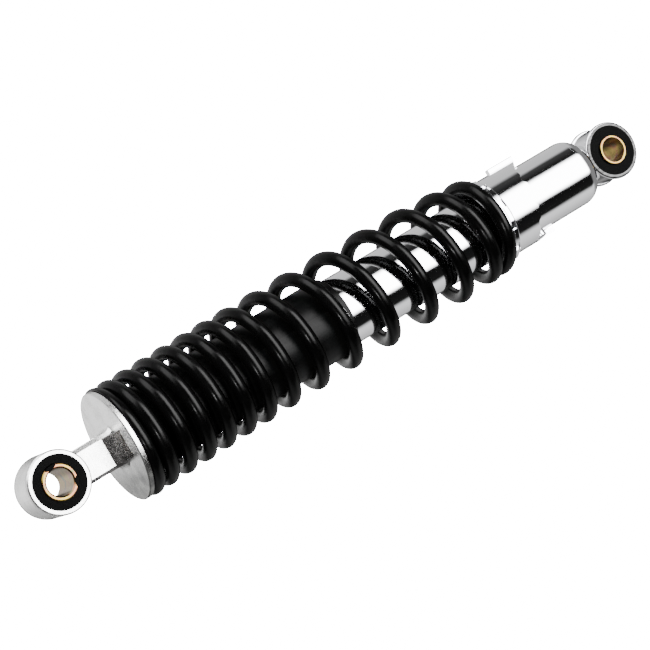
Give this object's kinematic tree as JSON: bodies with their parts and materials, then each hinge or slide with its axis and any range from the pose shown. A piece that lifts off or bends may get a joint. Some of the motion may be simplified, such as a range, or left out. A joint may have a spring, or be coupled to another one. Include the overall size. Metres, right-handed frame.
{
  "type": "motorcycle rear shock absorber",
  "caption": "Coil-over rear damper for a twin-shock motorcycle: rubber-bushed eye at each end, progressive black spring, dust tube, chromed body and stepped preload cam.",
  "frame": {"origin": "centre of the upper eye's bolt bore", "axes": "+Y along the bolt bores, +Z along the damper from the lower eye up to the upper eye, +X across"},
  "size_m": [0.0569, 0.0554, 0.3591],
  "materials": {
    "cast_aluminium": "satin cast",
    "chrome": "polished",
    "yellow_zinc_steel": "yellow passivated zinc",
    "black_rubber": "matte",
    "black_spring_coat": "gloss coat",
    "black_plastic": "semi-gloss moulded",
    "ground_steel": "ground",
    "sintered_iron": "sintered",
    "guide_bronze": "machined",
    "ptfe_band": "smooth"
  },
  "bodies": {
    "frame_sleeve": {"top_sleeve": "yellow_zinc_steel"},
    "rod_assembly": {"top_bracket": "cast_aluminium", "top_bush": "black_rubber", "dust_tube": "black_plastic", "piston_rod": "chrome", "rod_lock_nut": "ground_steel", "bump_stop_washer": "ground_steel", "bump_stop": "black_rubber", "rebound_bumper": "black_rubber", "rebound_stop": "ground_steel", "compression_shims": "ground_steel", "piston": "sintered_iron", "rebound_shims": "ground_steel", "piston_nut": "ground_steel"},
    "piston_band": {"piston_ring": "ptfe_band"},
    "damper_body": {"body_tube": "chrome", "body_end_cap": "chrome", "bottom_eye": "chrome", "bottom_bush": "black_rubber", "cam_lugs": "chrome", "seal_case": "ground_steel", "rod_oil_seal": "black_rubber", "seal_spring": "ground_steel", "rod_guide": "sintered_iron", "guide_o_ring": "black_rubber", "guide_bush": "guide_bronze", "inner_cylinder": "ground_steel", "base_valve_body": "sintered_iron", "base_valve_shims": "ground_steel", "base_valve_bolt": "ground_steel", "main_spring": "black_spring_coat"},
    "seat_washer": {"spring_seat": "chrome"},
    "adjuster_cam": {"preload_cam": "chrome"},
    "swing_arm_sleeve": {"bottom_sleeve": "yellow_zinc_steel"}
  },
  "joints": [
    {"name": "top_eye_swing", "type": "hinge", "parent": "frame_sleeve", "child": "rod_assembly", "pos_m": [0, 0, 0], "axis": [0, 1, 0], "range_deg": [-15, 15], "stiffness_Nm_per_rad": 12},
    {"name": "rod_swivel", "type": "hinge", "parent": "rod_assembly", "child": "piston_band", "pos_m": [0, 0, -0.2], "axis": [0, 0, 1], "continuous": true},
    {"name": "stroke", "type": "slide", "parent": "piston_band", "child": "damper_body", "axis": [0, 0, 1], "range_m": [0, 0.055], "stiffness_N_per_m": 17000, "springref_m": -0.012, "deforming": ["main_spring"]},
    {"name": "preload_lift", "type": "slide", "parent": "damper_body", "child": "seat_washer", "axis": [0, 0, 1], "range_m": [0, 0.004]},
    {"name": "cam_turn", "type": "hinge", "parent": "seat_washer", "child": "adjuster_cam", "pos_m": [0, 0, -0.25], "axis": [0, 0, -1], "range_deg": [0, 103]},
    {"name": "bottom_eye_swing", "type": "hinge", "parent": "damper_body", "child": "swing_arm_sleeve", "pos_m": [0, 0, -0.33], "axis": [0, 1, 0], "range_deg": [-15, 15], "stiffness_Nm_per_rad": 12}
  ],
  "couplings": [
    {"joint": "cam_turn", "follows": "preload_lift", "rad_per_m": 445.06}
  ]
}
